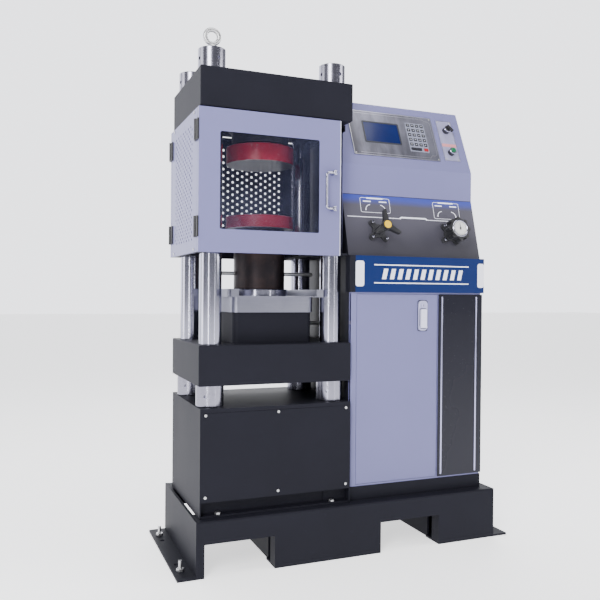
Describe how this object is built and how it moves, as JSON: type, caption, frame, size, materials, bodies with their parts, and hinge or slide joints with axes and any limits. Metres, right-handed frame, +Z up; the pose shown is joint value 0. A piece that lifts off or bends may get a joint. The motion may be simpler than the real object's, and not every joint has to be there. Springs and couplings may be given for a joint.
{
  "type": "compression testing machine",
  "caption": "Column-frame machine that crushes specimens between platens, with a guard and a hydraulic cabinet with console and valves.",
  "frame": {"origin": "centre of the floor anchor-hole pattern, at floor level", "axes": "+X to the right seen from the front, +Y to the back, +Z up"},
  "size_m": [1.35, 0.541, 1.9145],
  "materials": {
    "charcoal_paint": "fine textured, satin",
    "grey_paint": "smooth, satin",
    "blue_paint": "smooth, gloss",
    "dark_gloss": "polished",
    "chrome": "polished",
    "zinc": "bright zinc",
    "stainless": "brushed",
    "ground_steel": "ground and oiled",
    "spacer_steel": "blackened, with brown patches",
    "platen_red": "gloss edge on a ground face",
    "clear_pane": "clear",
    "black_plastic": "satin",
    "lock_metal": "satin",
    "plate_aluminium": "brushed",
    "screen": "smooth",
    "keypad_film": "fine textured",
    "yellow_cap": "gloss",
    "green_button": "gloss",
    "dial": "gloss",
    "motor_paint": "satin",
    "cast": "as cast"
  },
  "bodies": {
    "machine": {"base_front_beam": "charcoal_paint", "base_rear_beam": "charcoal_paint", "base_left_end_plate": "charcoal_paint", "base_right_end_plate": "charcoal_paint", "base_cross_members": "charcoal_paint", "levelling_screws": "zinc", "pedestal_frame": "charcoal_paint", "pedestal_shell": "charcoal_paint", "pedestal_front_panel": "charcoal_paint", "hold_down_bolts": "zinc", "panel_screws": "zinc", "lower_crosshead": "charcoal_paint", "upper_crosshead": "charcoal_paint", "columns": "chrome", "column_nuts": "chrome", "eye_bolt": "zinc", "cylinder_block": "charcoal_paint", "dust_tray": "stainless", "ball_seat": "ground_steel", "retaining_ring": "ground_steel", "feed_pipe": "zinc", "guard_hinge_leaves": "black_plastic", "guard_left_panel": "grey_paint", "guard_right_panel": "grey_paint", "guard_brackets": "charcoal_paint", "cabinet_plinth": "charcoal_paint", "cabinet_shell": "grey_paint", "dark_panel": "dark_gloss", "band_box": "blue_paint", "valve_panel": "blue_paint", "console_plates": "plate_aluminium", "lcd_display": "screen", "keypad": "keypad_film", "switch_bezels": "zinc", "valve_flanges": "cast", "oil_tank": "charcoal_paint", "pump_housing": "cast", "pump_motor": "motor_paint", "valve_manifold": "ground_steel"},
    "ram": {"piston": "chrome", "spacer_block": "spacer_steel", "spacer_handles": "zinc", "lower_platen": "platen_red"},
    "tilting_platen": {"upper_platen": "platen_red"},
    "front_door": {"front_door_frame": "grey_paint", "front_door_window": "clear_pane", "front_door_hinge_leaves": "black_plastic", "handle_mounts": "chrome"},
    "rear_guard_door": {"rear_door": "grey_paint", "rear_door_hinge_leaves": "black_plastic"},
    "door_handle": {"handle_bail": "chrome"},
    "service_door": {"cabinet_door": "grey_paint", "lock_body": "lock_metal"},
    "lock_lever": {"lock_handle": "lock_metal"},
    "selector": {"selector_lever": "black_plastic"},
    "start_button": {"push_button": "green_button"},
    "left_valve": {"left_valve_handle": "black_plastic", "left_handle_cap": "yellow_cap"},
    "right_valve": {"right_valve_knob": "black_plastic", "right_knob_dial": "dial"}
  },
  "joints": [
    {"name": "ram_stroke", "type": "slide", "parent": "machine", "child": "ram", "axis": [0, 0, 1], "range_m": [0, 0.05]},
    {"name": "platen_tilt", "type": "hinge", "parent": "machine", "child": "tilting_platen", "pos_m": [-0.307, -0.012, 1.4665], "axis": [1, 0, 0], "range_deg": [-3, 3]},
    {"name": "front_door_hinge", "type": "hinge", "parent": "machine", "child": "front_door", "pos_m": [-0.6103, -0.21925, 1.365], "axis": [0, 0, -1], "range_deg": [0, 120]},
    {"name": "rear_door_hinge", "type": "hinge", "parent": "machine", "child": "rear_guard_door", "pos_m": [-0.6103, 0.20425, 1.365], "axis": [0, 0, 1], "range_deg": [0, 120]},
    {"name": "handle_fold", "type": "hinge", "parent": "front_door", "child": "door_handle", "pos_m": [-0.103, -0.2625, 1.3515], "axis": [0, 0, 1], "range_deg": [0, 100]},
    {"name": "service_door_hinge", "type": "hinge", "parent": "machine", "child": "service_door", "pos_m": [0.0175, -0.215, 0.614], "axis": [0, 0, -1], "range_deg": [0, 110]},
    {"name": "lock_lever_lift", "type": "hinge", "parent": "service_door", "child": "lock_lever", "pos_m": [0.302, -0.2265, 0.847], "axis": [1, 0, 0], "range_deg": [0, 60]},
    {"name": "selector_turn", "type": "hinge", "parent": "machine", "child": "selector", "pos_m": [0.5035, -0.06262, 1.66907], "axis": [0, -0.9162, 0.4008], "range_deg": [0, 90]},
    {"name": "button_press", "type": "slide", "parent": "machine", "child": "start_button", "axis": [0, 0.9162, -0.4008], "range_m": [0, 0.003], "stiffness_N_per_m": 600, "springref_m": -0.001},
    {"name": "left_valve_turn", "type": "hinge", "parent": "machine", "child": "left_valve", "pos_m": [0.123, -0.21665, 1.22889], "axis": [0, -0.9663, 0.2574], "range_deg": [0, 360]},
    {"name": "right_valve_turn", "type": "hinge", "parent": "machine", "child": "right_valve", "pos_m": [0.4505, -0.21665, 1.22889], "axis": [0, -0.9663, 0.2574], "range_deg": [0, 360]}
  ]
}
